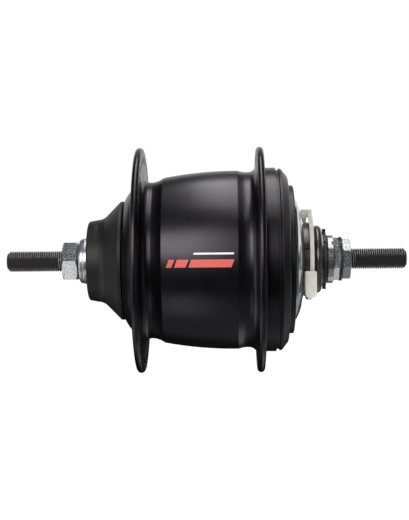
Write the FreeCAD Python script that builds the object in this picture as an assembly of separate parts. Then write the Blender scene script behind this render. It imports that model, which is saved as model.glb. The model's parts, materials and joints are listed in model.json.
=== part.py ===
"""Bicycle rear hub with an internal planetary gear, axle along X, drive side at +X.

A hollow hub shell turns on a fixed axle. The sprocket driver at the right turns a ring gear, whose
stepped planets run round a locked sun and turn the cage more slowly. The cage carries a second set of
stepped planets, whose ring gear turns the shell faster than the cage. Pawls in the axle lock the suns,
and a control sleeve round the axle chooses which pawls stand up.

The origin is on the axle's axis, half way between the two locknut faces. Sizes are in millimetres.
"""

import FreeCAD, Part
import math
import os

V = FreeCAD.Vector
X_AXIS = V(1, 0, 0)

# ---------------------------------------------------------------- driving dimensions

AXLE_LENGTH = 184.0
OVER_LOCKNUTS = 132.0
THREAD_R = 4.7625  # BC 3/8 inch, 26 threads to the inch, at its crests
AXLE_CORE_R = 6.5
AXLE_FLATS = 7.4  # across the two flats at each end
FLAT_GAP = 2.5  # from the locknut's face to the start of the flats
CORE_X = (-45.0, 55.1)  # the stretch of the axle between its threads
AXLE_LEAN = 12.5  # degrees that the flats lean from upright

SPOKE_CIRCLE = 92.6
SPOKE_COUNT = 36
SPOKE_HOLE_R = 1.45
COUNTERSINK = 0.4  # of the spoke holes, at both faces
FLANGE_R = 51.85
FLANGE_THICK = 3.3
FLANGE_SEAT_R = {"left": 41.0, "right": 45.5}
LEFT_FLANGE_X = -30.1
RIGHT_FLANGE_X = 24.8
COLLAR_END_X = 31.75

# gears: one module and one centre distance, so every step runs on the same planet pin circle
MODULE = 0.9
PRESSURE_ANGLE = math.radians(25.0)
ADDENDUM = 0.8 * MODULE
DEDENDUM = 1.05 * MODULE
TOOTH_THINNING = 0.08  # taken off each tooth at the pitch circle, for backlash
CENTRE_TEETH = 48  # sun teeth plus planet teeth, and ring teeth less planet teeth
PIN_CIRCLE_R = CENTRE_TEETH * MODULE / 2
PLANETS = 3

FACE = 7.0  # gear face width
GAP = 0.8  # between neighbouring gears

LOW_STEP, MID_STEP, HIGH_STEP = 21, 15, 12  # overdrive planet teeth; its suns have the rest of 48
OUTPUT_RING = CENTRE_TEETH + HIGH_STEP
INPUT_STEP, REACTION_STEP = 21, 12  # reduction planet teeth, to the ring and to the sun
INPUT_RING = CENTRE_TEETH + INPUT_STEP

# gear planes along the axle, as the left face of each gear
HIGH_X = -30.4
MID_X = HIGH_X + FACE + GAP
LOW_X = MID_X + FACE + GAP
REACTION_X = -2.4
INPUT_X = REACTION_X + FACE + GAP

CAGE_LEFT = (-34.0, -31.2)
CAGE_MIDDLE = (-6.8, -3.3)
CAGE_RIGHT = (13.4, 16.6)
PIN_R = 2.0

# running clearances
SHAFT_CLEAR = 0.05
SLEEVE_CLEAR = 0.08

SLEEVE_IN = AXLE_CORE_R + SLEEVE_CLEAR
SLEEVE_OUT = 7.3
SUN_BORE = SLEEVE_OUT + SLEEVE_CLEAR
RATCHET_R = 9.0
RATCHET_TEETH = 10
PAWL_WIDTH = 3.6
PAWL_ROOM = 4.4  # width of a pawl's pocket, its window and the ratchet
SLEEVE_TURN = 154.0  # degrees from the spring's end to the far end of the gear range

# bearings: ball circle radius, ball radius, ball centre along the axle, balls
LEFT_BEARING = (10.6, 2.38, -48.2, 9)
DRIVER_BEARING = (11.6, 2.0, 47.0, 11)
SHELL_BEARING = (30.0, 2.38, 31.0, 24)
RACE_CLEAR = 0.07
RACE_ARC = math.radians(70.0)

DRIVER_R = 17.0
NUT_FLATS = 17.0


# ---------------------------------------------------------------- helpers


def turned(*path):
    """A solid turned about X from an outline of points (x, r); (x by, r by, x, r) is an arc by a point."""
    edges = []
    here = V(path[0][0], 0, path[0][1])
    for step in path[1:] + (path[0],):
        there = V(step[-2], 0, step[-1])
        if len(step) == 4:
            edges.append(Part.Arc(here, V(step[0], 0, step[1]), there).toShape())
        elif not here.isEqual(there, 1e-7):
            edges.append(Part.LineSegment(here, there).toShape())
        here = there
    return Part.Face(Part.Wire(edges)).revolve(V(0, 0, 0), X_AXIS, 360)


def ring(x0, x1, r_in, r_out):
    return turned((x0, r_in), (x0, r_out), (x1, r_out), (x1, r_in))


def rod(x0, x1, r, centre_r=0.0, angle=0.0):
    """A cylinder along X whose axis is centre_r from the hub's, at an angle from +Z."""
    return turn(Part.makeCylinder(r, x1 - x0, V(x0, 0, centre_r), X_AXIS), angle)


def turn(shape, angle):
    """The shape turned about X by an angle in degrees; +Z goes towards -Y."""
    copy = shape.copy()
    copy.rotate(V(0, 0, 0), X_AXIS, angle)
    return copy


def around(shape, count, start=0.0):
    return [turn(shape, start + 360.0 * i / count) for i in range(count)]


def at(radius, angle):
    """The point in the plane across the axle at this radius and angle (radians from +Z towards -Y)."""
    return V(0, -radius * math.sin(angle), radius * math.cos(angle))


def slab(points, x0, x1):
    """An extrusion along X of a polygon whose points lie in the plane across the axle."""
    wire = Part.makePolygon(list(points) + [points[0]])
    return Part.Face(wire).extrude(V(x1 - x0, 0, 0)).translated(V(x0, 0, 0))


def sector(x0, x1, r_in, r_out, middle, spread):
    """Part of a ring, spread degrees wide about its middle angle."""
    corners = [V(x0, 0, r_in), V(x0, 0, r_out), V(x1, 0, r_out), V(x1, 0, r_in), V(x0, 0, r_in)]
    face = turn(Part.Face(Part.makePolygon(corners)), middle - spread / 2)
    return face.revolve(V(0, 0, 0), X_AXIS, spread)


def prism(sides, flats, x0, x1, angle, chamfer_r, bore_r):
    """A nut: a prism with round chamfers at both ends and a plain bore."""
    corner = flats / 2 / math.cos(math.pi / sides)
    corners = [at(corner, math.radians(angle) + 2 * math.pi * (i + 0.5) / sides) for i in range(sides)]
    slope = math.tan(math.radians(30.0))
    inset = (corner - chamfer_r) * slope
    limit = turned((x0, bore_r), (x0, chamfer_r), (x0 + inset, corner + 0.01),
                   (x1 - inset, corner + 0.01), (x1, chamfer_r), (x1, bore_r))
    return slab(corners, x0, x1).common(limit)


# ---------------------------------------------------------------- gears


def involute(angle):
    return math.tan(angle) - angle


def half_width(teeth, r, thinning):
    """Half the angle that a tooth fills at radius r; the same curve bounds an inner gear's tooth space."""
    pitch_r = teeth * MODULE / 2
    base_r = pitch_r * math.cos(PRESSURE_ANGLE)
    pressure = math.acos(base_r / max(r, base_r))
    return (math.pi / 2 / teeth - thinning / 2 / pitch_r
            + involute(PRESSURE_ANGLE) - involute(pressure))


def gear_wire(teeth, inner, tooth_at=0.0):
    """The closed outline of a gear, or of an inner gear's opening, with a tooth (or space) at tooth_at."""
    pitch_r = teeth * MODULE / 2
    base_r = pitch_r * math.cos(PRESSURE_ANGLE)
    low = pitch_r - (ADDENDUM if inner else DEDENDUM)
    high = pitch_r + (DEDENDUM if inner else ADDENDUM)
    thinning = -TOOTH_THINNING if inner else TOOTH_THINNING
    start = max(low, base_r)
    middle = (start + high) / 2
    pitch = 2 * math.pi / teeth
    edges = []
    for i in range(teeth):
        centre = tooth_at + i * pitch

        def point(r, side):
            return at(r, centre + side * half_width(teeth, r, thinning))

        root = at(low, centre - half_width(teeth, start, thinning))
        if low < start:
            edges.append(Part.LineSegment(root, point(start, -1)).toShape())
        edges.append(Part.Arc(point(start, -1), point(middle, -1), point(high, -1)).toShape())
        edges.append(Part.Arc(point(high, -1), at(high, centre), point(high, 1)).toShape())
        edges.append(Part.Arc(point(high, 1), point(middle, 1), point(start, 1)).toShape())
        leave = at(low, centre + half_width(teeth, start, thinning))
        if low < start:
            edges.append(Part.LineSegment(point(start, 1), leave).toShape())
        following = at(low, centre + pitch - half_width(teeth, start, thinning))
        edges.append(Part.Arc(leave, at(low, centre + pitch / 2), following).toShape())
    return Part.Wire(edges)


def spur(teeth, x0, tooth_at=0.0, face=FACE):
    """An outer gear about the hub's axis."""
    return Part.Face(gear_wire(teeth, False, tooth_at)).extrude(V(face, 0, 0)).translated(V(x0, 0, 0))


def ring_teeth(teeth, x0, x1):
    """The opening of an inner gear, as a solid to cut away, with a tooth space at angle 0."""
    return Part.Face(gear_wire(teeth, True)).extrude(V(x1 - x0, 0, 0)).translated(V(x0, 0, 0))


def planet(steps, hub):
    """A stepped planet at angle 0. Each step is (teeth, left face) and has a tooth straight outward."""
    body = ring(hub[0], hub[1], PIN_R + SHAFT_CLEAR, 4.2)
    bore = Part.makeCylinder(4.2, FACE, V(0, 0, 0), X_AXIS)
    for teeth, x0 in steps:
        body = body.fuse(spur(teeth, x0).cut(bore.translated(V(x0, 0, 0))))
    return body.removeSplitter().translated(V(0, 0, PIN_CIRCLE_R))


def sun(planet_teeth, x0, start):
    """The sun of a planet step, with ratchet notches in its bore. start is its planets' angle."""
    teeth = CENTRE_TEETH - planet_teeth
    tooth_at = math.pi / teeth if planet_teeth % 2 == 0 else 0.0
    body = spur(teeth, x0, tooth_at)
    body = body.cut(Part.makeCylinder(SUN_BORE, FACE, V(x0, 0, 0), X_AXIS))
    room0 = x0 + (FACE - PAWL_ROOM) / 2
    slope = [(SUN_BORE - 0.3, 23), (RATCHET_R, 33), (RATCHET_R, 36.2), (SUN_BORE - 0.3, 55.6)]
    notch = slab([at(r, math.radians(a)) for r, a in slope], room0, room0 + PAWL_ROOM)
    for cut in around(notch, RATCHET_TEETH, PAWL_AT - start):
        body = body.cut(cut)
    return turn(body, start)


# ---------------------------------------------------------------- axle and what is fixed to it

PAWL_AT = 20.0  # angle of every pawl's heel round the axle
HEEL_R = 1.1
HEEL_CIRCLE = 5.2
PAWL_LENGTH = 5.5
PAWL_UP, PAWL_FOLD = 10.0, 33.0  # degrees: how far a raised pawl leans out, and how far it folds


def pawl(x_gear, folded):
    """A pawl with a round heel in the axle, its arm raised through the sleeve or folded into its pocket."""
    x0 = x_gear + (FACE - PAWL_WIDTH) / 2
    x1 = x0 + PAWL_WIDTH
    lean = PAWL_UP - (PAWL_FOLD if folded else 0.0)
    heel = Part.makeCylinder(HEEL_R, PAWL_WIDTH, V(x0, 0, HEEL_CIRCLE), X_AXIS)
    arm = slab([V(0, 0, 0.9), V(0, -PAWL_LENGTH, 0.55), V(0, -PAWL_LENGTH, -0.6), V(0, 0, -0.9)], x0, x1)
    arm.rotate(V(0, 0, 0), X_AXIS, -lean)
    body = heel.fuse(arm.translated(V(0, 0, HEEL_CIRCLE))).removeSplitter()
    return turn(body, PAWL_AT)


def pawl_pocket(x_gear):
    """The room in the axle for a pawl's heel and for its arm when folded."""
    x0 = x_gear + (FACE - PAWL_ROOM) / 2
    heel = Part.makeCylinder(HEEL_R + SHAFT_CLEAR, PAWL_ROOM, V(x0, 0, HEEL_CIRCLE), X_AXIS)
    corners = [V(0, 0.5, 7.2), V(0, -9.0, 7.2), V(0, -6.6, 1.9), V(0, -5.6, 1.9), V(0, 0.5, 4.3)]
    room = slab(corners, x0, x0 + PAWL_ROOM)
    return turn(heel.fuse(room), PAWL_AT)


def axle():
    half = AXLE_LENGTH / 2
    face = OVER_LOCKNUTS / 2
    flat_from = face + FLAT_GAP
    tip, relief_r, relief = (1.3, 1.5), 4.2, (face - 0.6, face + 0.4)
    left = [(-half, 0), (-half, THREAD_R - tip[1]), (-half + tip[0], THREAD_R), (-flat_from, THREAD_R),
            (-relief[1], THREAD_R), (-relief[1], relief_r), (-relief[0], relief_r), (-relief[0], THREAD_R)]
    right = [(-x, r) for x, r in reversed(left)]
    body = turned(*left, (CORE_X[0], THREAD_R), (CORE_X[0], AXLE_CORE_R), (CORE_X[1], AXLE_CORE_R),
                  (CORE_X[1], THREAD_R), *right)
    flat_length, depth, height = half - flat_from, 4.0, 12.0
    for x0 in (-half, flat_from):
        for y0 in (AXLE_FLATS / 2, -AXLE_FLATS / 2 - depth):
            block = Part.makeBox(flat_length, depth, height, V(x0, y0, -height / 2))
            body = body.cut(turn(block, AXLE_LEAN))
    for x_gear in (HIGH_X, MID_X, LOW_X, REACTION_X):
        body = body.cut(pawl_pocket(x_gear))
    return body


def left_cone():
    circle, ball, x, _ = LEFT_BEARING
    r = ball + RACE_CLEAR
    low = circle - r
    middle, end = math.pi + RACE_ARC * 0.65, math.pi + math.radians(20)
    return turned((-45.2, THREAD_R), (-45.2, low), (x, low),
                  (x + r * math.cos(middle), circle + r * math.sin(middle),
                   x + r * math.cos(end), circle - r * math.sin(math.radians(20))),
                  (-52.0, circle - r * math.sin(math.radians(20))), (-52.0, 8.2),
                  (-58.4, 8.2), (-58.4, THREAD_R))


def left_dust_cover():
    """The bright pressed cover on the left cone, outside the black cap."""
    return turned((-58.4, 8.2), (-58.4, 8.8), (-58.05, 9.8, -57.2, 10.25), (-56.3, 10.4),
                  (-55.8, 10.6), (-54.4, 10.6), (-54.4, 8.2))


def right_cone():
    """The right cone, with one inner key that sits on the axle through the sleeve's slot."""
    circle, ball, x, _ = DRIVER_BEARING
    r = ball + RACE_CLEAR
    low = circle - r
    end_x, end_r = x + r * math.cos(math.radians(20)), circle - r * math.sin(math.radians(20))
    middle = math.radians(-55)
    bore = SLEEVE_OUT + 0.1
    body = turned((44.6, bore), (44.6, low), (x, low),
                  (x + r * math.cos(middle), circle + r * math.sin(middle), end_x, end_r),
                  (49.8, end_r), (49.8, 12.4), (53.2, 12.4), (53.2, bore))
    return body.fuse(sector(44.6, 53.2, AXLE_CORE_R, bore + 0.2, KEY_AT, KEY_SPREAD)).removeSplitter()


def castle_bush():
    """The bright bush that clamps the right cone's stack, with notches round its outer end."""
    body = turned((55.2, THREAD_R), (55.2, 10.6), (55.6, 11.1), (57.9, 11.1), (58.2, 10.8),
                  (58.2, THREAD_R))
    notch = Part.makeBox(1.3, 2.0, 2.4, V(57.2, -1.0, 9.9))
    for cut in around(notch, 6, 48.0):
        body = body.cut(cut)
    return body


def lock_washer():
    """A black washer with a wavy, toothed rim."""
    body = ring(61.0, 62.3, THREAD_R, 9.55)
    tooth = sector(61.0, 62.3, 9.5, 10.05, 0.0, 18.0)
    for lug in around(tooth, 8, 0.0):
        body = body.fuse(lug)
    return body.removeSplitter()


def thrust_washers():
    """Thin washers between neighbouring suns."""
    rings = [ring(x + 0.1, x + GAP - 0.1, SUN_BORE, 10.4) for x in (MID_X - GAP, LOW_X - GAP)]
    return Part.makeCompound(rings)


def circlip():
    """The open spring ring that keeps the cage on the axle."""
    body = ring(-35.6, -34.6, 5.9, 8.6)
    return body.cut(Part.makeBox(3.0, 4.0, 12.0, V(-36.6, -2.0, -12.0)))


def circlip_groove():
    return ring(-35.65, -34.55, 5.9, AXLE_CORE_R + 1)


# ---------------------------------------------------------------- control sleeve

KEY_AT, KEY_SPREAD = 180.0, 96.0
FINGER_SPREAD = 84.0
LUG_PLATE = (53.5, 54.9)


def control_sleeve():
    """The sleeve round the axle: windows over the raised pawls, a finger past the cone, a lugged plate."""
    inset = (FACE - PAWL_ROOM) / 2
    high_end, reaction_start = HIGH_X + inset + PAWL_ROOM, REACTION_X + inset
    # three rings that meet at the windows' edges, so each stretch of the bore ends in whole circles
    body = ring(-31.0, high_end, SLEEVE_IN, SLEEVE_OUT)
    body = body.fuse([ring(high_end, reaction_start, SLEEVE_IN, SLEEVE_OUT),
                      ring(reaction_start, 43.8, SLEEVE_IN, SLEEVE_OUT)])
    pawl_side, window_spread = PAWL_AT + 34.0, SLEEVE_TURN + 50.0
    for x0 in (HIGH_X + inset, reaction_start):
        window = sector(x0, x0 + PAWL_ROOM, SLEEVE_IN - 1, SLEEVE_OUT + 1,
                        pawl_side - SLEEVE_TURN / 2, window_spread)
        body = body.cut(window)
    finger_at = KEY_AT + 180.0 - SLEEVE_TURN / 2
    body = body.fuse(sector(43.7, LUG_PLATE[1], SLEEVE_IN, SLEEVE_OUT, finger_at, FINGER_SPREAD))
    plate = ring(LUG_PLATE[0], LUG_PLATE[1], SLEEVE_IN, 12.1)
    for lug in around(sector(LUG_PLATE[0], LUG_PLATE[1], 12.0, 13.9, 0.0, 16.0), 2):
        plate = plate.fuse(lug)
    for lug in around(sector(LUG_PLATE[0], LUG_PLATE[1], 12.0, 12.6, 0.0, 12.0), 4, 45.0):
        plate = plate.fuse(lug)
    return body.fuse(plate)


def return_spring():
    """The coil spring round the sleeve that turns it back to the lowest gear."""
    wire_r, coil_r, x0, turns, pitch = 0.6, 9.0, 20.0, 6, 1.5
    path = Part.makeHelix(pitch, pitch * turns, coil_r)
    path = Part.Wire(path.Edges)
    section = Part.Wire(Part.makeCircle(wire_r, V(coil_r, 0, 0), V(0, 1, 0)))
    coil = path.makePipeShell([section], True, True)
    coil.rotate(V(0, 0, 0), V(0, 1, 0), 90)
    return coil.translated(V(x0, 0, 0))


# ---------------------------------------------------------------- hub shell and what turns with it


def flange(x_middle, seat_r):
    """A spoke flange: a flat ring with rounded rim and countersunk spoke holes."""
    x0, x1 = x_middle - FLANGE_THICK / 2, x_middle + FLANGE_THICK / 2
    edge = 1.6
    bulge = edge * (1 - math.sqrt(0.5))
    body = turned((x0, seat_r), (x0, FLANGE_R - edge), (x0 + bulge, FLANGE_R - bulge, x0 + edge, FLANGE_R),
                  (x1 - edge, FLANGE_R), (x1 - bulge, FLANGE_R - bulge, x1, FLANGE_R - edge), (x1, seat_r))
    past = 1.0
    wide = SPOKE_HOLE_R + COUNTERSINK + past
    drill = turned((x0 - past, 0), (x0 - past, wide), (x0 + COUNTERSINK, SPOKE_HOLE_R),
                   (x1 - COUNTERSINK, SPOKE_HOLE_R), (x1 + past, wide), (x1 + past, 0))
    for hole in around(drill.translated(V(0, 0, SPOKE_CIRCLE / 2)), SPOKE_COUNT):
        body = body.cut(hole)
    return body


def hub_shell():
    """The barrel, without the flange rings: brake boss, shoulder, waist, crowned body and right collar."""
    left0, left1 = LEFT_FLANGE_X - FLANGE_THICK / 2, LEFT_FLANGE_X + FLANGE_THICK / 2
    right0, right1 = RIGHT_FLANGE_X - FLANGE_THICK / 2, RIGHT_FLANGE_X + FLANGE_THICK / 2
    left_seat, right_seat = FLANGE_SEAT_R["left"], FLANGE_SEAT_R["right"]
    return turned(
        # outside, from the boss to the collar
        (-52.4, 14.6), (-52.4, 16.4), (-37.3, 16.4), (-37.3, 27.3), (-35.0, 31.2, left0, 34.4),
        (left0, left_seat), (left1, left_seat), (left1, 39.4), (-27.6, 37.0, -25.4, 35.95),
        (-23.8, 36.0), (-21.7, 36.6, -19.2, 38.0), (-3.0, 40.3, 14.4, 41.05),
        (15.3, 40.85), (17.3, 40.4, 19.4, 40.35), (22.05, 41.4, right0, 44.0), (right0, right_seat),
        (right1, right_seat), (right1, 42.9), (right1 + 0.5, 42.3), (COLLAR_END_X, 42.3),
        # inside, back to the boss
        (COLLAR_END_X, 37.6), (3.0, 37.6), (3.0, 35.0), (-18.0, 35.0), (-18.0, 32.6), (-31.5, 32.6),
        (-31.5, 28.3), (-35.2, 28.3), (-35.2, 12.9), (-44.4, 12.9), (-44.4, 14.6))


def left_end_cap():
    """The black moulded cap over the brake boss."""
    return turned((-54.0, 10.9), (-54.0, 17.2), (-53.75, 17.95, -53.0, 18.3), (-50.2, 18.85),
                  (-47.7, 19.35, -45.9, 20.4), (-39.1, 27.3), (-37.8, 27.3), (-37.8, 25.9),
                  (-38.5, 25.9), (-45.6, 18.8), (-46.6, 16.4), (-52.5, 16.4), (-52.5, 10.9))


def left_cup():
    circle, ball, x, _ = LEFT_BEARING
    r = ball + RACE_CLEAR
    end_x, end_r = x + r * math.cos(math.radians(20)), circle + r * math.sin(math.radians(20))
    middle = math.radians(55)
    return turned((-51.8, 14.6), (-44.4, 14.6), (-44.4, end_r), (end_x, end_r),
                  (x + r * math.cos(middle), circle + r * math.sin(middle), x, circle + r),
                  (-51.8, circle + r))


def right_end_ring():
    """The bevelled ring screwed into the collar, which holds the large bearing's outer race."""
    circle, ball, x, _ = SHELL_BEARING
    r = ball + RACE_CLEAR
    end_x, end_r = x - r * math.cos(math.radians(20)), circle + r * math.sin(math.radians(20))
    middle = math.radians(125)
    return turned((24.2, end_r), (24.2, 37.6), (COLLAR_END_X, 37.6), (COLLAR_END_X, 41.2), (33.0, 41.2),
                  (33.35, 41.85), (34.25, 41.85), (37.0, 38.4), (37.25, 37.9), (37.4, 37.0), (37.4, circle + r),
                  (x, circle + r), (x + r * math.cos(middle), circle + r * math.sin(middle), end_x, end_r))


def right_seal():
    """The stepped black cover that closes the right end ring."""
    bore, spigot = 19.6, SHELL_BEARING[0] + SHELL_BEARING[1] + RACE_CLEAR
    return turned((37.5, bore), (37.5, 31.0), (35.0, 31.0), (35.0, spigot), (37.4, spigot), (37.4, 34.1),
                  (39.3, 34.1), (39.7, 33.95, 39.85, 33.5), (39.85, 27.8), (39.2, 27.4), (39.2, bore))


def output_ring_gear():
    body = ring(HIGH_X, HIGH_X + FACE, 20.0, 30.0)
    return body.cut(ring_teeth(OUTPUT_RING, HIGH_X - 1, HIGH_X + FACE + 1))


CLUTCH_ROLLERS, ROLLER_R = 12, 1.25
ROLLER_CIRCLE = (30.0 + 32.6) / 2


def clutch_rollers():
    roller = rod(HIGH_X + 0.6, HIGH_X + FACE - 0.6, ROLLER_R, ROLLER_CIRCLE)
    return Part.makeCompound(around(roller, CLUTCH_ROLLERS, 15.0))


def clutch_cage():
    """The roller clutch's cage: a thin tube with a slot for each roller."""
    body = ring(HIGH_X, HIGH_X + FACE, ROLLER_CIRCLE - 0.6, ROLLER_CIRCLE + 0.6)
    slot = rod(HIGH_X + 0.5, HIGH_X + FACE - 0.5, ROLLER_R + 0.1, ROLLER_CIRCLE)
    for cut in around(slot, CLUTCH_ROLLERS, 15.0):
        body = body.cut(cut)
    return body


# ---------------------------------------------------------------- driver and what turns with it


def driver():
    """The sprocket driver, with its seat, snap-ring groove and slots outside and a ball race inside."""
    circle, ball, x, _ = DRIVER_BEARING
    r = ball + RACE_CLEAR
    race_x = x - r * math.cos(math.radians(20))
    race_r = circle + r * math.sin(math.radians(20))
    middle = math.radians(125)
    body = turned((18.2, race_r), (18.2, 18.5), (21.0, 18.5), (21.0, 20.6), (23.6, 20.6), (23.6, 19.0),
                  (28.4, 19.0), (28.4, 24.0), (33.6, 24.0), (33.6, 19.0), (43.0, 19.0), (43.0, DRIVER_R),
                  (44.5, DRIVER_R), (44.5, 16.5), (45.1, 16.5), (45.1, DRIVER_R),
                  (47.9, DRIVER_R), (47.9, 16.1), (48.7, 16.1), (48.7, DRIVER_R - 0.2),
                  (49.3, DRIVER_R - 0.8),
                  (49.3, 14.6), (52.2, 14.6), (52.2, circle + r), (x, circle + r),
                  (x + r * math.cos(middle), circle + r * math.sin(middle), race_x, race_r))
    slot = Part.makeBox(6.0, 4.2, 3.0, V(43.9, -2.1, DRIVER_R - 1.4))
    for cut in around(slot, 3, 80.0):
        body = body.cut(cut)
    return body


def driver_race():
    """The large bearing's inner race, pressed on the driver."""
    circle, ball, x, _ = SHELL_BEARING
    r = ball + RACE_CLEAR
    end_x, end_r = x + r * math.cos(math.radians(20)), circle - r * math.sin(math.radians(20))
    middle = math.radians(-55)
    return turned((28.4, 24.0), (28.4, circle - r), (x, circle - r),
                  (x + r * math.cos(middle), circle + r * math.sin(middle), end_x, end_r),
                  (34.4, end_r), (34.4, 24.0))


def driver_dust_cover():
    """The bright dished cover beside the sprocket seat."""
    return turned((40.2, 28.4), (41.1, 27.6), (42.9, 23.6, 43.7, 19.0), (44.2, 17.9), (44.2, DRIVER_R),
                  (43.1, DRIVER_R), (43.1, 19.1), (42.6, 19.6), (41.6, 24.0, 40.2, 27.0))


def driver_end_cap():
    """The rounded ring on the driver's end, round the right cone."""
    return turned((49.5, 14.6), (49.5, 14.9), (50.0, 15.3), (51.1, 15.5, 52.1, 15.1), (52.7, 14.2),
                  (52.7, 13.9), (52.2, 13.9), (52.2, 14.6))


def input_ring_gear():
    """The driver's ring gear: a toothed cup whose web sits on the driver."""
    body = turned((INPUT_X - 0.2, 20.0), (INPUT_X - 0.2, 34.8), (21.0, 34.8), (21.0, 18.5), (18.4, 18.5),
                  (18.4, 32.4), (INPUT_X + FACE + 0.2, 32.4), (INPUT_X + FACE + 0.2, 20.0))
    return body.cut(turn(ring_teeth(INPUT_RING, INPUT_X - 1, INPUT_X + FACE + 0.2), 60.0))


def clutch_ring():
    """The sliding dog ring in the driver's bore, which joins driver and cage in the direct gears."""
    body = ring(33.5, 38.5, SLEEVE_OUT + 0.7, 12.1)
    for dog in around(sector(31.5, 33.6, 9.2, 12.1, 0.0, 40.0), 3):
        body = body.fuse(dog)
    return body.removeSplitter()


# ---------------------------------------------------------------- planet cage


def planet_cage():
    """Three plates joined by posts that pass between the planets."""
    left, middle, right = CAGE_LEFT, CAGE_MIDDLE, CAGE_RIGHT
    bush_left, bush_right = 8.0, 9.0
    body = ring(left[0], left[1], bush_left, 27.4)
    for plate, bore in ((middle, SLEEVE_OUT + 0.5), (right, bush_right)):
        body = body.fuse(ring(plate[0], plate[1], bore, 29.5))
    for post in around(sector(left[0], middle[1], 18.2, 25.2, 0.0, 30.0), PLANETS, 60.0):
        body = body.fuse(post)
    for post in around(sector(middle[0], right[1], 18.2, 26.0, 0.0, 30.0), PLANETS, 0.0):
        body = body.fuse(post)
    for hole in around(rod(left[0] - 1, middle[1] + 1, PIN_R, PIN_CIRCLE_R), PLANETS):
        body = body.cut(hole.common(Part.makeBox(40, 80, 80, V(middle[0] - 30, -40, -40))))
    for hole in around(rod(middle[0] - 1, right[1] + 1, PIN_R, PIN_CIRCLE_R), PLANETS, 60.0):
        body = body.cut(hole)
    return body.removeSplitter()


def planet_pins(x0, x1, start):
    return Part.makeCompound(around(rod(x0, x1, PIN_R, PIN_CIRCLE_R), PLANETS, start))


def cage_bushes():
    left = ring(CAGE_LEFT[0], CAGE_LEFT[1], AXLE_CORE_R + SHAFT_CLEAR, 8.0)
    right = ring(CAGE_RIGHT[0], CAGE_RIGHT[1], SLEEVE_OUT + SHAFT_CLEAR, 9.0)
    return Part.makeCompound([left, right])


# ---------------------------------------------------------------- bearings


def balls(bearing):
    circle, ball, x, count = bearing
    return Part.makeCompound(around(Part.makeSphere(ball, V(x, 0, circle)), count))


def retainer(bearing, side):
    """The pressed ring that spaces the balls, on the side of them that neither race reaches."""
    circle, ball, x, count = bearing
    near, far = x + side * 0.9, x + side * (ball + 0.1)
    body = ring(min(near, far), max(near, far), circle + 0.3, circle + 1.1)
    for pocket in around(Part.makeSphere(ball + 0.05, V(x, 0, circle)), count):
        body = body.cut(pocket)
    return body


# ---------------------------------------------------------------- shipping tie


# inner face of the strap: degrees from upright, radius
TIE_RADII = {0: 21.4, 25: 21.2, 48: 19.6, 70: 18.1, 90: 17.8, 108: 18.5, 125: 20.9, 138: 22.4, 152: 21.6,
             170: 19.8, 190: 18.5, 212: 17.9, 240: 17.8, 270: 17.8, 300: 17.9, 325: 18.9, 345: 20.5}


def tie_line(extra):
    """The closed curve of the strap's inner face, moved out by extra, in the plane across the axle."""
    curve = Part.BSplineCurve()
    points = [at(r + extra, math.radians(a)) for a, r in TIE_RADII.items()]
    curve.interpolate(Points=points, PeriodicFlag=True)
    return Part.Wire(curve.toShape())


def shipping_tie():
    """The nylon tie round the driver: a slack strap, its locking head in front and a trimmed tail below."""
    thick, wide, lean, middle = 1.0, 2.2, 1.4, 47.2
    strap = Part.Face(tie_line(thick)).cut(Part.Face(tie_line(0.0))).extrude(V(wide, 0, 0))
    strap = strap.translated(V(-wide / 2, 0, 0))
    strap.rotate(V(0, 0, 0), V(0, 1, 0), -lean)
    strap = strap.translated(V(middle, 0, 0))
    head = Part.makeBox(5.4, 4.4, 11.9, V(43.75, -22.4, -17.2))
    head = head.makeFillet(1.0, head.Edges)
    tail = Part.makeBox(wide, thick, 4.0, V(45.3, -20.4, -18.7))
    return strap.fuse(head).fuse(tail).removeSplitter()


# ---------------------------------------------------------------- the whole hub


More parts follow.
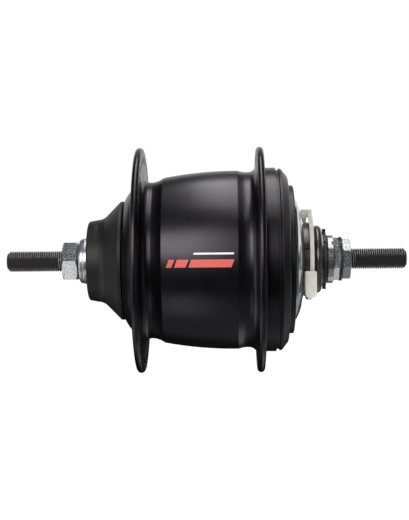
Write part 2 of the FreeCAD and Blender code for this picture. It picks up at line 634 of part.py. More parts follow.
def build():
    nodes = {
        "axle": axle().cut(circlip_groove()),
        "left_locknut": prism(6, NUT_FLATS, -66.0, -59.0, 0.0, 8.3, THREAD_R),
        "left_lock_washer": ring(-59.0, -58.4, THREAD_R, 8.0),
        "left_cone": left_cone(),
        "left_cone_dust_cover": left_dust_cover(),
        "axle_circlip": circlip(),
        "sun_thrust_washers": thrust_washers(),
        "sun_reaction": sun(REACTION_STEP, REACTION_X, 60.0),
        "sun_high": sun(HIGH_STEP, HIGH_X, 0.0),
        "pawl_mid_folded": pawl(MID_X, True),
        "pawl_low_folded": pawl(LOW_X, True),
        "right_cone": right_cone(),
        "castle_bush": castle_bush(),
        "right_hex_nut": prism(6, NUT_FLATS, 58.2, 61.0, 85.0, 9.4, THREAD_R),
        "right_lock_washer": lock_washer(),
        "right_locknut": prism(8, 18.2, 62.3, 66.0, 90.0, 9.2, THREAD_R),
        "shift_return_spring": return_spring(),
        "pawl_reaction": pawl(REACTION_X, False),
        "pawl_high": pawl(HIGH_X, False),
        "sun_mid": sun(MID_STEP, MID_X, 0.0),
        "sun_low": sun(LOW_STEP, LOW_X, 0.0),
        "control_sleeve": control_sleeve(),
        "hub_shell": hub_shell(),
        "left_flange": flange(LEFT_FLANGE_X, FLANGE_SEAT_R["left"]),
        "right_flange": flange(RIGHT_FLANGE_X, FLANGE_SEAT_R["right"]),
        "left_end_cap": left_end_cap(),
        "left_ball_cup": left_cup(),
        "right_end_ring": right_end_ring(),
        "right_seal": right_seal(),
        "output_ring_gear": output_ring_gear(),
        "clutch_rollers": clutch_rollers(),
        "clutch_roller_cage": clutch_cage(),
        "driver": driver(),
        "driver_ball_race": driver_race(),
        "driver_dust_cover": driver_dust_cover(),
        "driver_end_cap": driver_end_cap(),
        "input_ring_gear": input_ring_gear(),
        "direct_clutch_ring": clutch_ring(),
        "planet_cage": planet_cage(),
        "overdrive_planet_pins": planet_pins(CAGE_LEFT[0], CAGE_MIDDLE[1], 0.0),
        "reduction_planet_pins": planet_pins(CAGE_MIDDLE[0], CAGE_RIGHT[1], 60.0),
        "cage_bushes": cage_bushes(),
        "left_balls": balls(LEFT_BEARING),
        "left_ball_retainer": retainer(LEFT_BEARING, -1),
        "driver_balls": balls(DRIVER_BEARING),
        "driver_ball_retainer": retainer(DRIVER_BEARING, 1),
        "shell_balls": balls(SHELL_BEARING),
        "shell_ball_retainer": retainer(SHELL_BEARING, 1),
        "shipping_tie": shipping_tie(),
    }
    overdrive = planet([(HIGH_STEP, HIGH_X), (MID_STEP, MID_X), (LOW_STEP, LOW_X)], (HIGH_X, LOW_X + FACE))
    reduction = planet([(REACTION_STEP, REACTION_X), (INPUT_STEP, INPUT_X)], (REACTION_X, INPUT_X + FACE))
    for i in range(PLANETS):
        nodes[f"overdrive_planet_{i + 1}"] = turn(overdrive, 360.0 / PLANETS * i)
        nodes[f"reduction_planet_{i + 1}"] = turn(reduction, 60.0 + 360.0 / PLANETS * i)
    return nodes


def main():
    os.makedirs("parts", exist_ok=True)
    for name, shape in build().items():
        if not shape.isValid() or not shape.Solids:
            print("check", name, shape.isValid(), len(shape.Solids))
        shape.exportStep(f"parts/{name}.step")


if __name__ == "__main__":
    main()
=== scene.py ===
"""Looks for the bicycle hub gear: materials for every part, threaded axle, shipping tie, decal, studio.

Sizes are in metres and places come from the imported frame. +X is the drive side, and the camera is at -Y.
"""

import json
import math

import bmesh
import bpy
from mathutils import Matrix, Vector
from mathutils.bvhtree import BVHTree

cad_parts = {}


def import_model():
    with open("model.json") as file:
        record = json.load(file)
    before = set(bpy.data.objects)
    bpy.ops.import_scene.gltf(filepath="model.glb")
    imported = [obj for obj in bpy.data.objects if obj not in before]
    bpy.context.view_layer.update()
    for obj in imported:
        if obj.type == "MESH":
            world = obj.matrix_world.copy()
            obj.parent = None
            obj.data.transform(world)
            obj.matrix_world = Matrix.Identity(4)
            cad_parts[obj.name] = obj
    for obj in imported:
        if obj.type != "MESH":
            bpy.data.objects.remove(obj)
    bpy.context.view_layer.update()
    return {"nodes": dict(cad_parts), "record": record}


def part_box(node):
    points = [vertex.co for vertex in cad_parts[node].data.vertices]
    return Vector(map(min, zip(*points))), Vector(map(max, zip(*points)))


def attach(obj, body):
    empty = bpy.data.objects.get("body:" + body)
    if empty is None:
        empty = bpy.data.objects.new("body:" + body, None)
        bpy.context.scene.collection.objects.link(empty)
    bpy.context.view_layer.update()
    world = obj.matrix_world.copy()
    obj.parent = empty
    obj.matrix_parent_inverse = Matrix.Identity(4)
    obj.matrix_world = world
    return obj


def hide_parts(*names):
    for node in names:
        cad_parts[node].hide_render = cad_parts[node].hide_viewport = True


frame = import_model()

MM = 0.001


# ---------------------------------------------------------------- shader helpers


class Shader:
    """A node material: a Principled surface, with short calls that add and link nodes."""

    def __init__(self, name, **values):
        self.material = bpy.data.materials.new(name)
        self.material.use_nodes = True
        self.nodes = self.material.node_tree.nodes
        self.links = self.material.node_tree.links
        self.surface = self.nodes["Principled BSDF"]
        for socket, value in values.items():
            self.surface.inputs[socket.replace("_", " ")].default_value = value

    def add(self, kind, **values):
        node = self.nodes.new(kind)
        for name, value in values.items():
            setattr(node, name, value)
        return node

    def join(self, source, target):
        self.links.new(source, target)

    def place(self, scale=(1, 1, 1)):
        """Object coordinates in millimetres, stretched by scale."""
        coordinates = self.add("ShaderNodeTexCoord")
        mapping = self.add("ShaderNodeMapping")
        mapping.inputs["Scale"].default_value = [s / MM for s in scale]
        self.join(coordinates.outputs["Object"], mapping.inputs["Vector"])
        return mapping.outputs["Vector"]

    def noise(self, scale, detail=3.0, roughness=0.5):
        """Noise whose features are about 1 / scale millimetres along each axis."""
        node = self.add("ShaderNodeTexNoise")
        node.inputs["Scale"].default_value = 1.0
        node.inputs["Detail"].default_value = detail
        node.inputs["Roughness"].default_value = roughness
        self.join(self.place(scale), node.inputs["Vector"])
        return node.outputs["Fac"]

    def spread(self, factor, low, high, start=0.3, end=0.7):
        """The factor from start..end mapped to low..high."""
        node = self.add("ShaderNodeMapRange")
        node.inputs["From Min"].default_value = start
        node.inputs["From Max"].default_value = end
        node.inputs["To Min"].default_value = low
        node.inputs["To Max"].default_value = high
        self.join(factor, node.inputs["Value"])
        return node.outputs["Result"]

    def ramp(self, factor, *stops):
        """Colours from a factor; each stop is (place, (r, g, b))."""
        node = self.add("ShaderNodeValToRGB")
        elements = node.color_ramp.elements
        while len(elements) < len(stops):
            elements.new(0.5)
        for element, (place, colour) in zip(elements, stops):
            element.position = place
            element.color = (*colour, 1)
        self.join(factor, node.inputs["Fac"])
        return node.outputs["Color"]

    def math(self, operation, a, b):
        node = self.add("ShaderNodeMath", operation=operation)
        for socket, value in zip(node.inputs, (a, b)):
            if isinstance(value, (int, float)):
                socket.default_value = value
            else:
                self.join(value, socket)
        return node.outputs["Value"]

    def roughness(self, factor):
        self.join(factor, self.surface.inputs["Roughness"])

    def colour(self, output):
        self.join(output, self.surface.inputs["Base Color"])

    def bump(self, height, strength, distance):
        """Bump of this depth in millimetres; several calls stack up."""
        node = self.add("ShaderNodeBump")
        node.inputs["Strength"].default_value = strength
        node.inputs["Distance"].default_value = distance * MM
        self.join(height, node.inputs["Height"])
        socket = self.surface.inputs["Normal"]
        if socket.is_linked:
            self.join(socket.links[0].from_socket, node.inputs["Normal"])
        self.join(node.outputs["Normal"], socket)

    def from_axis(self):
        """The distance from the axle's axis, in millimetres."""
        split = self.add("ShaderNodeSeparateXYZ")
        self.join(self.place(), split.inputs["Vector"])
        squares = [self.math("MULTIPLY", split.outputs[axis], split.outputs[axis]) for axis in "YZ"]
        return self.math("SQRT", self.math("ADD", *squares), 0.0)


def shell_black():
    """Satin black coating over a turned casting: fine lines round the crowned body."""
    s = Shader("shell_black", Metallic=0.0, Specular_IOR_Level=0.66, Specular_Tint=(1.0, 0.94, 1.05, 1))
    lines = s.noise((9.0, 0.02, 0.02), detail=4.0, roughness=0.7)
    grain = s.noise((3.0, 3.0, 3.0), detail=3.0)
    cloud = s.noise((0.08, 0.08, 0.08), detail=2.0)
    s.colour(s.ramp(cloud, (0.3, (0.0012, 0.0011, 0.0013)), (0.7, (0.0024, 0.0022, 0.0026))))
    s.roughness(s.math("ADD", s.spread(lines, 0.27, 0.37), s.spread(cloud, -0.02, 0.03)))
    s.bump(lines, 0.22, 0.012)
    s.bump(grain, 0.10, 0.006)
    return s.material


def seal_black():
    """Smooth black coating of the end ring and the seal plate, with faint turning lines."""
    s = Shader("seal_black", Metallic=0.0, Specular_IOR_Level=0.58, Specular_Tint=(1.0, 0.95, 1.04, 1))
    lines = s.noise((6.0, 0.03, 0.03), detail=3.0)
    grain = s.noise((4.0, 4.0, 4.0), detail=2.0)
    s.colour(s.ramp(grain, (0.3, (0.0020, 0.0020, 0.0022)), (0.7, (0.0036, 0.0034, 0.0038))))
    s.roughness(s.spread(lines, 0.34, 0.44))
    s.bump(grain, 0.15, 0.008)
    return s.material


def cap_black():
    """Matte moulded plastic with a fine spark-eroded grain."""
    s = Shader("cap_black", Metallic=0.0, Specular_IOR_Level=0.5)
    grain = s.noise((5.0, 5.0, 5.0), detail=4.0, roughness=0.65)
    cloud = s.noise((0.12, 0.12, 0.12), detail=2.0)
    s.colour(s.ramp(cloud, (0.3, (0.0052, 0.0050, 0.0054)), (0.7, (0.0088, 0.0083, 0.0090))))
    s.roughness(s.spread(grain, 0.43, 0.56))
    s.bump(grain, 0.30, 0.012)
    return s.material


def black_steel():
    """Black oxide on rolled thread: dark metal, worn brown in its scratches."""
    s = Shader("black_steel", Metallic=0.8)
    cloud = s.noise((0.7, 0.7, 0.7), detail=4.0, roughness=0.6)
    fleck = s.noise((6.0, 6.0, 6.0), detail=3.0)
    s.colour(s.ramp(cloud, (0.25, (0.045, 0.042, 0.044)), (0.6, (0.085, 0.079, 0.079)),
                    (0.85, (0.13, 0.115, 0.105))))
    s.roughness(s.spread(fleck, 0.34, 0.52))
    s.bump(fleck, 0.2, 0.01)
    return s.material


def thread_steel():
    """Black oxide on the axle's ends, coloured by distance from the axis: pale at the crests of the thread,
    which is partly worn metal and partly a painted highlight, and dark in its roots and the middles of the
    flats, which is painted shade.
    """
    s = Shader("thread_steel", Metallic=0.65)
    cloud = s.noise((0.7, 0.7, 0.7), detail=4.0, roughness=0.6)
    fleck = s.noise((6.0, 6.0, 6.0), detail=3.0)
    # painted light: colour follows the radius, so the worn crests also carry a painted highlight, and the
    # roots and the flats' middles carry painted shade
    height = s.math("ADD", s.from_axis(), s.spread(cloud, -0.10, 0.10))
    root, crest = 4.1, 4.8
    crest_wear_and_painted_light = s.spread(height, 0.0, 1.0, root, crest)
    s.colour(s.ramp(crest_wear_and_painted_light, (0.0, (0.036, 0.034, 0.035)), (0.45, (0.07, 0.066, 0.067)),
                    (0.75, (0.19, 0.18, 0.18)), (1.0, (0.40, 0.38, 0.38))))
    s.roughness(s.spread(fleck, 0.34, 0.50))
    s.bump(fleck, 0.2, 0.01)
    return s.material


def zinc_steel():
    """Bright zinc plate: pale metal, slightly blue and yellow, with faint crystals and tool marks."""
    s = Shader("zinc_steel", Metallic=0.96)
    crystal = s.add("ShaderNodeTexVoronoi")
    crystal.inputs["Scale"].default_value = 1.0
    s.join(s.place((1.6, 1.6, 1.6)), crystal.inputs["Vector"])
    cloud = s.noise((0.35, 0.35, 0.35), detail=3.0)
    marks = s.noise((1.0, 2.2, 2.2), detail=2.0)
    s.colour(s.ramp(cloud, (0.25, (0.60, 0.63, 0.67)), (0.5, (0.70, 0.71, 0.72)), (0.8, (0.76, 0.75, 0.73))))
    grain = s.spread(crystal.outputs["Distance"], 0.13, 0.30, 0.0, 0.9)
    s.roughness(s.math("ADD", grain, s.spread(marks, -0.03, 0.05)))
    s.bump(marks, 0.15, 0.015)
    return s.material


def bright_cover(name, rough):
    """Zinc on the pressed covers, with drawing lines round them. rough is the range of roughness."""
    s = Shader(name, Metallic=0.96)
    lines = s.noise((2.5, 0.05, 0.05), detail=2.0)
    cloud = s.noise((0.2, 0.2, 0.2), detail=3.0)
    s.colour(s.ramp(cloud, (0.25, (0.60, 0.65, 0.72)), (0.55, (0.70, 0.73, 0.77)),
                    (0.85, (0.76, 0.76, 0.74))))
    s.roughness(s.math("ADD", s.spread(lines, *rough), s.spread(cloud, -0.02, 0.03)))
    return s.material


def driver_steel():
    """Dark brown heat-treated steel with lathe lines."""
    s = Shader("driver_steel", Metallic=0.85)
    lines = s.noise((4.5, 0.05, 0.05), detail=4.0, roughness=0.6)
    cloud = s.noise((0.25, 0.25, 0.25), detail=4.0)
    blend = s.math("MULTIPLY", s.math("ADD", lines, cloud), 0.5)
    s.colour(s.ramp(blend, (0.3, (0.074, 0.062, 0.058)), (0.55, (0.17, 0.143, 0.135)),
                    (0.75, (0.32, 0.27, 0.25))))
    s.roughness(s.spread(lines, 0.22, 0.34))
    s.bump(lines, 0.3, 0.02)
    return s.material


def ground_steel(name, dark, pale, rough, scale=1.0):
    """Machined steel: two greys and a roughness range, with fine crossed marks."""
    s = Shader(name, Metallic=1.0)
    marks = s.noise((5.0 * scale, 2.0 * scale, 2.0 * scale), detail=4.0, roughness=0.6)
    cloud = s.noise((0.3 * scale, 0.3 * scale, 0.3 * scale), detail=3.0)
    s.colour(s.ramp(cloud, (0.3, dark), (0.7, pale)))
    s.roughness(s.spread(marks, *rough))
    s.bump(marks, 0.15, 0.01)
    return s.material


def nylon():
    """Unpigmented nylon, slightly translucent and slightly yellowed."""
    s = Shader("nylon_tie", Metallic=0.0, Subsurface_Weight=0.25, Subsurface_Scale=1.5 * MM,
               Specular_IOR_Level=0.45)
    s.surface.inputs["Subsurface Radius"].default_value = (1.0, 0.85, 0.6)
    cloud = s.noise((0.3, 0.3, 0.3), detail=3.0)
    grain = s.noise((4.0, 4.0, 4.0), detail=3.0)
    s.colour(s.ramp(cloud, (0.3, (0.49, 0.48, 0.435)), (0.7, (0.58, 0.57, 0.51))))
    s.roughness(s.spread(grain, 0.34, 0.48))
    s.bump(grain, 0.12, 0.012)
    return s.material


def paint(name, colour):
    """Printed decal ink with a little unevenness."""
    s = Shader(name, Metallic=0.0, Specular_IOR_Level=0.5)
    grain = s.noise((2.5, 2.5, 2.5), detail=3.0)
    s.colour(s.ramp(grain, (0.3, [c * 0.9 for c in colour]), (0.7, colour)))
    s.roughness(s.spread(grain, 0.35, 0.45))
    return s.material


materials = {
    "shell_black": shell_black(),
    "cap_black": cap_black(),
    "seal_black": seal_black(),
    "black_steel": black_steel(),
    "zinc_steel": zinc_steel(),
    "driver_steel": driver_steel(),
    "gear_steel": ground_steel("gear_steel", (0.30, 0.30, 0.31), (0.42, 0.42, 0.43), (0.24, 0.36)),
    "ball_steel": ground_steel("ball_steel", (0.70, 0.70, 0.71), (0.78, 0.78, 0.79), (0.06, 0.12)),
    "spring_steel": ground_steel("spring_steel", (0.36, 0.35, 0.34), (0.50, 0.49, 0.48), (0.22, 0.34), 2.0),
    "cage_steel": ground_steel("cage_steel", (0.26, 0.25, 0.24), (0.36, 0.35, 0.34), (0.36, 0.48)),
    "bronze_bush": ground_steel("bronze_bush", (0.52, 0.34, 0.16), (0.64, 0.45, 0.22), (0.28, 0.40)),
    "nylon_tie": nylon(),
}
covers = {
    "driver_dust_cover": bright_cover("bright_cover", (0.17, 0.23)),
    "left_cone_dust_cover": bright_cover("satin_cover", (0.30, 0.38)),
}

for part in frame["record"]["subparts"]:
    node = frame["nodes"][part["node"]]
    node.data.materials.clear()
    node.data.materials.append(materials[part["material_slot"]])
for name, material in covers.items():
    frame["nodes"][name].data.materials.clear()
    frame["nodes"][name].data.materials.append(material)


# ---------------------------------------------------------------- mesh helpers

MERGE = 0.002 * MM
SMOOTH_UP_TO = math.radians(32)


def make_piece(name, body, material, slot, verts, faces, smooth=True, replaces=()):
    """A closed mesh piece that rides on a body. smooth rounds every edge but the sharp ones."""
    mesh = bpy.data.meshes.new(name)
    mesh.from_pydata([tuple(v) for v in verts], [], faces)
    tidy = bmesh.new()
    tidy.from_mesh(mesh)
    bmesh.ops.remove_doubles(tidy, verts=tidy.verts, dist=MERGE)
    bmesh.ops.dissolve_degenerate(tidy, dist=MERGE, edges=tidy.edges)
    bmesh.ops.recalc_face_normals(tidy, faces=tidy.faces)
    tidy.to_mesh(mesh)
    tidy.free()
    mesh.materials.append(material)
    piece = bpy.data.objects.new(name, mesh)
    bpy.context.scene.collection.objects.link(piece)
    if smooth:
        bpy.context.view_layer.objects.active = piece
        piece.select_set(True)
        bpy.ops.object.shade_smooth_by_angle(angle=SMOOTH_UP_TO)
        piece.select_set(False)
    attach(piece, body)
    if replaces:
        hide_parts(*replaces)


def across(radius, angle):
    """The y and z of a point at this radius and angle, from +Z towards -Y."""
    return -radius * math.sin(angle), radius * math.cos(angle)


def ring_faces(rings, count, closed):
    """Quads between neighbouring rings of count points. closed joins the last ring to the first."""
    faces = []
    for i in range(rings if closed else rings - 1):
        for k in range(count):
            after, side = ((i + 1) % rings) * count, (k + 1) % count
            faces.append((i * count + k, i * count + side, after + side, after + k))
    return faces


def joined(*shapes):
    """Several (verts, faces) as one."""
    verts, faces = [], []
    for more_verts, more_faces in shapes:
        faces += [[i + len(verts) for i in face] for face in more_faces]
        verts += more_verts
    return verts, faces


# ---------------------------------------------------------------- axle

AXLE_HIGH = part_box("axle")[1]
NUT_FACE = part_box("right_locknut")[1].x
THREAD_R = 4.7625 * MM
THREAD_ROOT_R = 4.14 * MM
PITCH = 25.4 * MM / 26
GROOVE_R = 4.2 * MM
GROOVE_END = NUT_FACE + 0.4 * MM
THREAD_START = NUT_FACE - 0.25 * MM
LEAD_SLOPE = 3
FLAT_R = 3.7 * MM
FLAT_START = NUT_FACE + 2.5 * MM
AXLE_LEAN = math.radians(12.5)
TIP_LENGTH, TIP_DEPTH = 1.3 * MM, 1.5 * MM


def thread_radius(turn_share):
    """The radius across one turn of thread: a short crest, two flanks and a short root."""
    crest, root = 0.16, 0.14
    share = abs((turn_share % 1.0) - 0.5) * 2  # 0 at the crest's middle, 1 at the root's middle
    slope = min(1.0, max(0.0, (share - crest) / (1 - crest - root)))
    return THREAD_R + (THREAD_ROOT_R - THREAD_R) * slope


def thread_surface(x, angle, turn_share):
    """The radius of a threaded end: the thread, cut by two flats, its chamfered tip and its inner end."""
    reach = abs(x)
    tip = THREAD_R - TIP_DEPTH + (AXLE_HIGH.x - reach) * TIP_DEPTH / TIP_LENGTH
    lead = GROOVE_R + LEAD_SLOPE * (reach - THREAD_START)
    radius = min(thread_radius(turn_share), tip, lead)
    if reach > FLAT_START:
        facing = abs(math.cos(angle - AXLE_LEAN - math.pi / 2))
        radius = min(radius, FLAT_R / max(facing, 0.5))  # past 60 degrees the flat is far outside the thread
    return radius


def threaded_end(start, end):
    """A closed skin from x = start to end. Its rows follow the helix, so crests and roots stay sharp."""
    sides, per_turn = 84, 12
    rows = math.ceil(((end - start) / PITCH + 1) * per_turn) + 1
    verts, faces = [], []
    for i in range(rows):
        for j in range(sides):
            x = min(max(start + PITCH * (i / per_turn - 1 + j / sides), start), end)
            angle = 2 * math.pi * j / sides
            verts.append((x, *across(thread_surface(x, angle, i / per_turn), angle)))
    for i in range(rows - 1):
        for j in range(sides):
            step, side = (per_turn, 0) if j == sides - 1 else (0, j + 1)
            low, high = (min(i + k + step, rows - 1) * sides + side for k in (0, 1))
            faces.append((i * sides + j, low, high, (i + 1) * sides + j))
    faces.append(tuple(range(sides)))
    faces.append(tuple((rows - 1) * sides + j for j in range(sides)))
    return verts, faces


def axle_middle():
    """The CAD axle's faces between the two grooves at the locknuts, closed off in the grooves."""
    body = bmesh.new()
    body.from_mesh(frame["nodes"]["axle"].data)
    bmesh.ops.remove_doubles(body, verts=body.verts, dist=MERGE)
    slack = 0.01 * MM
    outer = [v for v in body.verts if abs(v.co.x) > GROOVE_END + slack
             or (abs(v.co.x) > GROOVE_END - slack and math.hypot(v.co.y, v.co.z) > GROOVE_R + slack)]
    bmesh.ops.delete(body, geom=outer, context="VERTS")
    wall = [f for f in body.faces if all(abs(v.co.x) > GROOVE_END - slack for v in f.verts)]
    bmesh.ops.delete(body, geom=wall, context="FACES")
    bmesh.ops.holes_fill(body, edges=[e for e in body.edges if e.is_boundary])
    verts = [v.co.copy() for v in body.verts]
    faces = [[v.index for v in f.verts] for f in body.faces]
    body.free()
    return verts, faces


ends = [threaded_end(-AXLE_HIGH.x, -THREAD_START), threaded_end(THREAD_START, AXLE_HIGH.x)]
make_piece("threaded_axle", "axle", thread_steel(), "black_steel", *joined(axle_middle(), *ends),
           replaces=("axle",))


# ---------------------------------------------------------------- shipping tie

# the middle of the strap: degrees from upright, radius and x in mm, degrees its face twists to the cover
TIE_LINE = ((0, 21.6, 46.4, 30), (20, 21.7, 47.3, 25), (44, 20.3, 47.65, 10), (70, 18.6, 47.7, 0),
            (90, 18.3, 47.7, 0), (108, 19.0, 47.6, 0), (125, 21.2, 47.3, 0), (140, 21.4, 47.1, 0),
            (155, 19.6, 47.0, 0), (172, 18.3, 46.9, 0), (190, 18.1, 46.8, 0), (212, 18.2, 46.6, 0),
            (240, 18.3, 46.4, 0), (270, 18.3, 46.2, 0), (300, 18.6, 46.0, 5), (322, 19.5, 45.8, 15),
            (343, 20.8, 45.8, 25))
TIE_WIDE, TIE_THICK = 1.85 * MM, 1.0 * MM
TIE_EDGE = 0.16 * MM
TOOTH_PITCH, TOOTH_DEPTH = 0.9 * MM, 0.18 * MM


def around_tie(turn):
    """The row of TIE_LINE at this share of the loop, on a smooth closed curve through its rows."""
    count = len(TIE_LINE)
    place = turn * count
    i, t = int(place), place - int(place)
    rows = []
    for k in (-1, 0, 1, 2):
        angle, *rest = TIE_LINE[(i + k) % count]
        rows.append((angle + 360 * ((i + k) // count), *rest))
    weights = ((-t + 2 * t * t - t ** 3) / 2, (2 - 5 * t * t + 3 * t ** 3) / 2,
               (t + 4 * t * t - 3 * t ** 3) / 2, (-t * t + t ** 3) / 2)
    return [sum(w * row[c] for w, row in zip(weights, rows)) for c in range(4)]


def tie_point(turn):
    """The middle of the strap at this share of the loop, and its twist."""
    angle, radius, x, twist = around_tie(turn % 1.0)
    return Vector((x * MM, *across(radius * MM, math.radians(angle)))), math.radians(twist)


def tie_strap():
    """The closed strap, with rounded edges and fine teeth across its inner face."""
    stations = 720
    wide, thick = TIE_WIDE / 2, TIE_THICK / 2
    half = [(wide - TIE_EDGE, thick), (wide, thick - TIE_EDGE), (wide, -thick + TIE_EDGE),
            (wide - TIE_EDGE, -thick), (wide - 3 * TIE_EDGE, -thick)]
    outline = half + [(-a, b) for a, b in reversed(half)]
    toothed = (4, 5)
    verts, run = [], 0.0
    for i in range(stations):
        here, twist = tie_point(i / stations)
        ahead, behind = tie_point((i + 0.5) / stations)[0], tie_point((i - 0.5) / stations)[0]
        along = (ahead - behind).normalized()
        run += (ahead - behind).length
        out = Vector((0, here.y, here.z)).normalized()
        out = (out - along * out.dot(along)).normalized()
        side = along.cross(out)
        side = side if side.x > 0 else -side
        face = out * math.cos(twist) - side * math.sin(twist)
        flat = side * math.cos(twist) + out * math.sin(twist)
        tooth = TOOTH_DEPTH * abs((run / TOOTH_PITCH) % 1.0 - 0.5) * 2
        for k, (a, b) in enumerate(outline):
            verts.append(here + flat * a + face * (b + (tooth if k in toothed else 0.0)))
    return verts, ring_faces(stations, len(outline), True)


def rounded_box(half_x, half_y, corner, steps=5):
    """The outline of a rectangle with round corners, as points about the origin."""
    points = []
    for quarter, (sx, sy) in enumerate(((1, 1), (-1, 1), (-1, -1), (1, -1))):
        for k in range(steps + 1):
            a = math.pi / 2 * (quarter + k / steps)
            points.append((sx * (half_x - corner) + corner * math.cos(a),
                           sy * (half_y - corner) + corner * math.sin(a)))
    return points


def tie_head():
    """The locking head: a tapered block with a slot right through it. levels are z, half x and half y."""
    middle_x, middle_y, corner = 46.75, -20.2, 0.75
    levels = ((-5.3, 2.10, 1.65), (-5.45, 2.45, 1.95), (-5.9, 2.68, 2.15), (-8.0, 2.72, 2.2),
              (-13.5, 2.72, 2.2), (-15.6, 2.55, 2.05), (-16.7, 2.15, 1.7), (-17.1, 1.75, 1.35))
    slot_x, slot_half_x, slot_half_y, slot_corner = middle_x + 0.6, 1.3, 0.7, 0.15
    rings = []
    for z, half_x, half_y in levels:
        rings.append([(middle_x + a, middle_y + b, z) for a, b in rounded_box(half_x, half_y, corner)])
    slot = rounded_box(slot_half_x, slot_half_y, slot_corner)
    for z in (levels[-1][0], levels[0][0]):
        rings.append([(slot_x + a, middle_y + b, z) for a, b in slot])
    verts = [Vector(point) * MM for ring in rings for point in ring]
    return verts, ring_faces(len(rings), len(slot), True)


def tie_stub():
    """The trimmed tail: it comes down into the head's slot and ends just below, cut off square."""
    x0, x1, y0, y1 = 46.35, 48.2, -20.65, -19.75
    top, front_cut, back_cut = -6.0, -17.7, -17.9
    swing = -0.8  # the cut end stands this far towards the hub
    corners = [(x0, y0, top), (x1, y0, top), (x1, y1, top), (x0, y1, top)]
    corners += [(x0 + swing, y0, front_cut), (x1 + swing, y0, front_cut)]
    corners += [(x1 + swing, y1, back_cut), (x0 + swing, y1, back_cut)]
    verts = [Vector(point) * MM for point in corners]
    faces = [(3, 2, 1, 0), (4, 5, 6, 7), (0, 1, 5, 4), (1, 2, 6, 5), (2, 3, 7, 6), (3, 0, 4, 7)]
    return verts, faces


def tie_tag():
    """The stub of a tag moulded on the strap, beside it at the top. levels are z, half x and middle x."""
    levels = ((18.9, 1.5, 44.95), (19.3, 2.0, 45.35), (20.0, 2.5, 45.85), (22.3, 2.5, 45.9),
              (22.65, 2.3, 45.9))
    middle_y, half_y, corner = -6.3, 0.6, 0.3
    verts = []
    for z, half_x, x in levels:
        verts += [Vector((x + a, middle_y + b, z)) * MM for a, b in rounded_box(half_x, half_y, corner)]
    count = len(verts) // len(levels)
    faces = ring_faces(len(levels), count, False)
    faces.append(tuple(range(count)))
    faces.append(tuple(len(verts) - count + k for k in range(count)))
    return verts, faces


ivory = materials["nylon_tie"]
make_piece("nylon_strap", "tie", ivory, "nylon_tie", *tie_strap(), replaces=("shipping_tie",))
make_piece("tie_locking_head", "tie", ivory, "nylon_tie", *joined(tie_head(), tie_stub()))
make_piece("tie_tag_stub", "tie", ivory, "nylon_tie", *tie_tag())


# ---------------------------------------------------------------- decal

INK_ABOVE, INK_BELOW = 0.05 * MM, 0.06 * MM
INK_STEP = 1.0 * MM
WELL_IN_FRONT = -0.2


def on_shell(tree, x, z):
    """The point of the shell's front at x and z, and its normal."""
    place, normal, _, _ = tree.ray_cast(Vector((x, WELL_IN_FRONT, z)), Vector((0, 1, 0)))
    return place, normal


def printed_bar(tree, x0, x1, z0, z1, slant):
    """A thin slanted bar of ink that follows the shell. Its top edge is moved along the axle by slant."""
    across_count, up_count = max(2, round((x1 - x0) / INK_STEP)), 4
    fronts, backs = [], []
    for j in range(up_count + 1):
        for i in range(across_count + 1):
            x = x0 + (x1 - x0) * i / across_count + slant * j / up_count
            place, normal = on_shell(tree, x, z0 + (z1 - z0) * j / up_count)
            fronts.append(place + normal * INK_ABOVE)
            backs.append(place - normal * INK_BELOW)
    wide, total = across_count + 1, len(fronts)
    faces = []
    for j in range(up_count):
        for i in range(across_count):
            a = j * wide + i
            faces.append((a, a + 1, a + wide + 1, a + wide))
            faces.append(tuple(total + k for k in (a, a + wide, a + wide + 1, a + 1)))
    rim = list(range(wide))
    rim += [j * wide + across_count for j in range(1, up_count + 1)]
    rim += [up_count * wide + i for i in range(across_count - 1, -1, -1)]
    rim += [j * wide for j in range(up_count - 1, 0, -1)]
    for a, b in zip(rim, rim[1:] + rim[:1]):
        faces.append((a, total + a, total + b, b))
    return fronts + backs, faces


def decal():
    """A generic mark: a pale line over a broken coral band. Each bar is x0, x1, z0, z1 and slant, in mm."""
    tree = BVHTree.FromObject(frame["nodes"]["hub_shell"], bpy.context.evaluated_depsgraph_get())
    line = [(-5.0, 12.4, 2.35, 3.15, 0.25)]
    band = [(-17.0, -14.6, -3.2, 0.2, 1.3), (-13.4, -8.4, -3.2, 0.2, 1.3), (-7.2, 11.4, -3.2, 0.2, 1.3)]
    for name, bars, ink in (("printed_line", line, paint("ink_white", (0.76, 0.76, 0.76))),
                            ("printed_band", band, paint("ink_coral", (0.60, 0.095, 0.075)))):
        shapes = [printed_bar(tree, *(value * MM for value in bar)) for bar in bars]
        make_piece(name, "shell", ink, "shell_black", *joined(*shapes), smooth=False)


decal()


# ---------------------------------------------------------------- studio


def stage():
    """A plain white floor well below the hub."""
    size, drop, glow = 60.0, 0.26, 0.45
    mesh = bpy.data.meshes.new("floor")
    corners = [(-size, -size, -drop), (size, -size, -drop), (size, size, -drop), (-size, size, -drop)]
    mesh.from_pydata(corners, [], [(0, 1, 2, 3)])
    floor = bpy.data.objects.new("floor", mesh)
    bpy.context.scene.collection.objects.link(floor)
    s = Shader("floor", Roughness=0.9)
    cloud = s.noise((0.002, 0.002, 0.002))
    s.colour(s.ramp(cloud, (0.3, (0.93, 0.93, 0.93)), (0.7, (0.95, 0.95, 0.95))))
    s.surface.inputs["Emission Color"].default_value = (1, 1, 1, 1)
    s.surface.inputs["Emission Strength"].default_value = glow
    mesh.materials.append(s.material)
    floor.visible_glossy = False


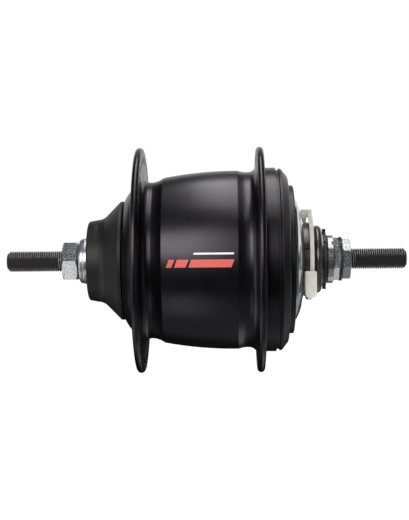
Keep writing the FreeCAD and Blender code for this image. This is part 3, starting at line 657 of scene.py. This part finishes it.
def softbox(name, azimuth, elevation, distance, x, size, radiance):
    """A rectangular light that faces the axle at x. Azimuth 0 is the camera's side and 90 the drive side."""
    turn, rise = math.radians(azimuth), math.radians(elevation)
    light = bpy.data.lights.new(name, "AREA")
    light.shape = "RECTANGLE"
    light.size, light.size_y = size
    light.energy = radiance * math.pi * size[0] * size[1]
    holder = bpy.data.objects.new(name, light)
    bpy.context.scene.collection.objects.link(holder)
    away = Vector((math.sin(turn) * math.cos(rise), -math.cos(turn) * math.cos(rise), math.sin(rise)))
    place = Vector((x, 0, 0)) + away * distance
    holder.location = place
    holder.rotation_euler = (Vector((x, 0, 0)) - place).to_track_quat("-Z", "Y").to_euler()
    holder.visible_camera = False


def world():
    """White to the camera, soft white to matt surfaces and a dark room to reflections."""
    room = bpy.data.worlds.new("studio")
    bpy.context.scene.world = room
    room.use_nodes = True
    nodes, links = room.node_tree.nodes, room.node_tree.links
    nodes.clear()
    output = nodes.new("ShaderNodeOutputWorld")
    path = nodes.new("ShaderNodeLightPath")
    shades = []
    for colour, strength in (((1, 1, 1), 1.0), ((1, 1, 1), 0.7), ((0.9, 0.93, 1.0), 0.012)):
        shade = nodes.new("ShaderNodeBackground")
        shade.inputs["Color"].default_value = (*colour, 1)
        shade.inputs["Strength"].default_value = strength
        shades.append(shade.outputs["Background"])
    to_camera, to_matt, to_glossy = shades
    other_rays, all_rays = nodes.new("ShaderNodeMixShader"), nodes.new("ShaderNodeMixShader")
    links.new(path.outputs["Is Glossy Ray"], other_rays.inputs["Fac"])
    links.new(to_matt, other_rays.inputs[1])
    links.new(to_glossy, other_rays.inputs[2])
    links.new(path.outputs["Is Camera Ray"], all_rays.inputs["Fac"])
    links.new(other_rays.outputs["Shader"], all_rays.inputs[1])
    links.new(to_camera, all_rays.inputs[2])
    links.new(all_rays.outputs["Shader"], output.inputs["Surface"])


def camera():
    """The photograph's view: level, square to the axle, a little right of the middle."""
    distance, foot_x, aim_x, roll, view_height = 0.58, 0.0087, -0.00085, 0.5, 0.2404
    sensor, near, far = 36.0, 0.01, 50.0
    data = bpy.data.cameras.new("camera")
    data.sensor_width = sensor
    data.lens = sensor * distance / view_height
    data.clip_start, data.clip_end = near, far
    holder = bpy.data.objects.new("camera", data)
    bpy.context.scene.collection.objects.link(holder)
    holder.location = (foot_x, -distance, 0)
    look = (Vector((aim_x, 0, 0)) - holder.location).to_track_quat("-Z", "Y").to_matrix()
    holder.rotation_euler = (look @ Matrix.Rotation(math.radians(-roll), 3, "Z")).to_euler()
    bpy.context.scene.camera = holder


# name, azimuth, elevation, distance, x of its aim, width and height, radiance
LIGHTS = (
    ("front_left", 0, 20, 0.80, -0.36, (0.62, 0.50), 3.8),
    ("overhead", 180, 85, 0.75, -0.002, (0.205, 0.74), 4.1),
    ("overhead_right", 180, 85, 0.75, 0.255, (0.31, 0.74), 0.3),
    ("top_right", 0, 60, 0.75, 0.10, (0.16, 0.14), 2.4),
    ("backdrop", 180, 17, 0.80, 0.30, (2.4, 0.5), 0.9),
    ("floor_glow", 0, -84, 0.55, 0, (1.2, 0.75), 0.15),
    ("low_left", 0, -60, 0.55, -0.15, (0.10, 0.26), 1.0),
    ("far_left", -96, -42, 0.60, -0.045, (0.30, 0.30), 1.0),
    ("low_right", 180, -62, 0.55, 0.165, (0.12, 0.40), 0.8),
    ("right_card", 62, -8, 0.70, 0.05, (0.45, 0.70), 0.2),
    ("back_right", 132, -20, 0.75, 0.05, (0.50, 0.80), 0.3),
    ("left_card", -68, 0, 0.70, -0.05, (0.40, 0.70), 1.2),
)

stage()
world()
camera()
for light in LIGHTS:
    softbox(*light)
bpy.context.scene.view_settings.view_transform = "Standard"
